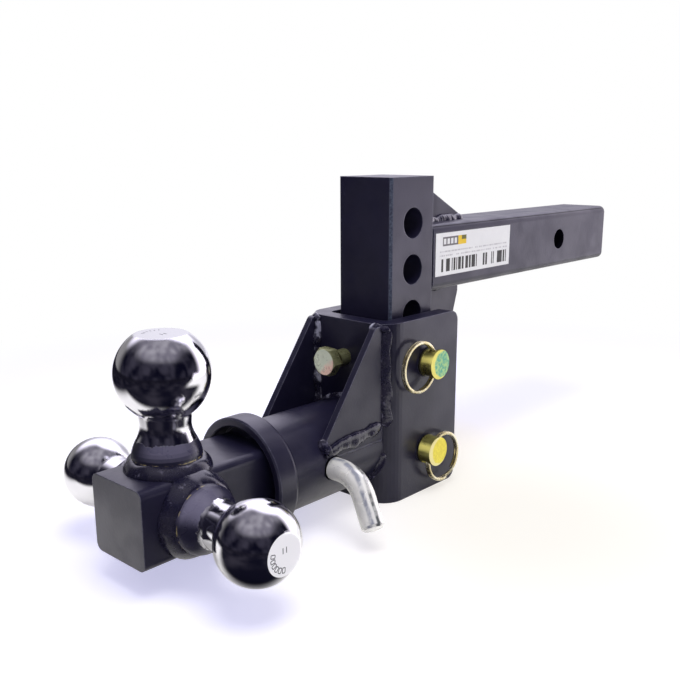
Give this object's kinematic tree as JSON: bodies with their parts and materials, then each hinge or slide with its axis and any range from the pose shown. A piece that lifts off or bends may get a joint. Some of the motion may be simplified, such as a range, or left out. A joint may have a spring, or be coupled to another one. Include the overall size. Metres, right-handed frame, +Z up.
{
  "type": "adjustable tri-ball trailer hitch mount",
  "caption": "Receiver hitch mount with a square shank, a height-adjustable pinned channel and a turnable head carrying tow balls of different sizes.",
  "frame": {"origin": "centre of the hitch-pin hole through the shank", "axes": "+Y along the shank towards the vehicle, +Z up, +X to the side where the pin ends and split rings show"},
  "size_m": [0.2037, 0.5502, 0.237],
  "materials": {
    "black_powder_coat": "satin powder coat",
    "chrome_plate": "polished",
    "yellow_zinc": "yellow zinc plating with a green tint",
    "ring_wire": "pale gold zinc plating",
    "clear_zinc": "clear zinc plating",
    "paper_label": "matte film"
  },
  "bodies": {
    "mount": {"shank_tube": "black_powder_coat", "post": "black_powder_coat", "upper_shank_gusset": "black_powder_coat", "lower_shank_gusset": "black_powder_coat", "shank_weld_beads": "black_powder_coat", "label": "paper_label", "channel": "black_powder_coat", "sleeve_tube": "black_powder_coat", "sleeve_collar": "black_powder_coat", "collar_weld_bead": "black_powder_coat", "left_gusset": "black_powder_coat", "right_gusset": "black_powder_coat", "channel_weld_beads": "black_powder_coat", "head_bar": "black_powder_coat", "top_ball": "chrome_plate", "right_ball": "chrome_plate", "left_ball": "chrome_plate", "ball_weld_beads": "black_powder_coat"},
    "bolt": {"anti_rattle_bolt": "yellow_zinc"},
    "upper_pin": {"upper_clevis_pin": "yellow_zinc"},
    "upper_ring": {"upper_split_ring": "ring_wire"},
    "lower_pin": {"lower_clevis_pin": "yellow_zinc"},
    "lower_ring": {"lower_split_ring": "ring_wire"},
    "hitch_pin_and_clip": {"hitch_pin": "clear_zinc", "hitch_pin_clip": "clear_zinc"}
  },
  "joints": [
    {"name": "bolt_turn", "type": "hinge", "parent": "mount", "child": "bolt", "pos_m": [0, -0.277, -0.0677], "axis": [0, 1, 0], "range_deg": [0, 1080]},
    {"name": "upper_pin_turn", "type": "hinge", "parent": "mount", "child": "upper_pin", "pos_m": [0, -0.217, -0.0736], "axis": [1, 0, 0], "continuous": true},
    {"name": "upper_ring_swing", "type": "hinge", "parent": "upper_pin", "child": "upper_ring", "pos_m": [0.0465, -0.217, -0.0736], "axis": [0, 0, 1], "range_deg": [-4, 184]},
    {"name": "lower_pin_turn", "type": "hinge", "parent": "mount", "child": "lower_pin", "pos_m": [0, -0.217, -0.1416], "axis": [1, 0, 0], "continuous": true},
    {"name": "lower_ring_swing", "type": "hinge", "parent": "lower_pin", "child": "lower_ring", "pos_m": [0.0465, -0.217, -0.1416], "axis": [0, 0.5299, 0.848], "range_deg": [-184, 4]},
    {"name": "hitch_pin_turn", "type": "hinge", "parent": "mount", "child": "hitch_pin_and_clip", "pos_m": [0, -0.3128, -0.1321], "axis": [1, 0, 0], "continuous": true}
  ]
}
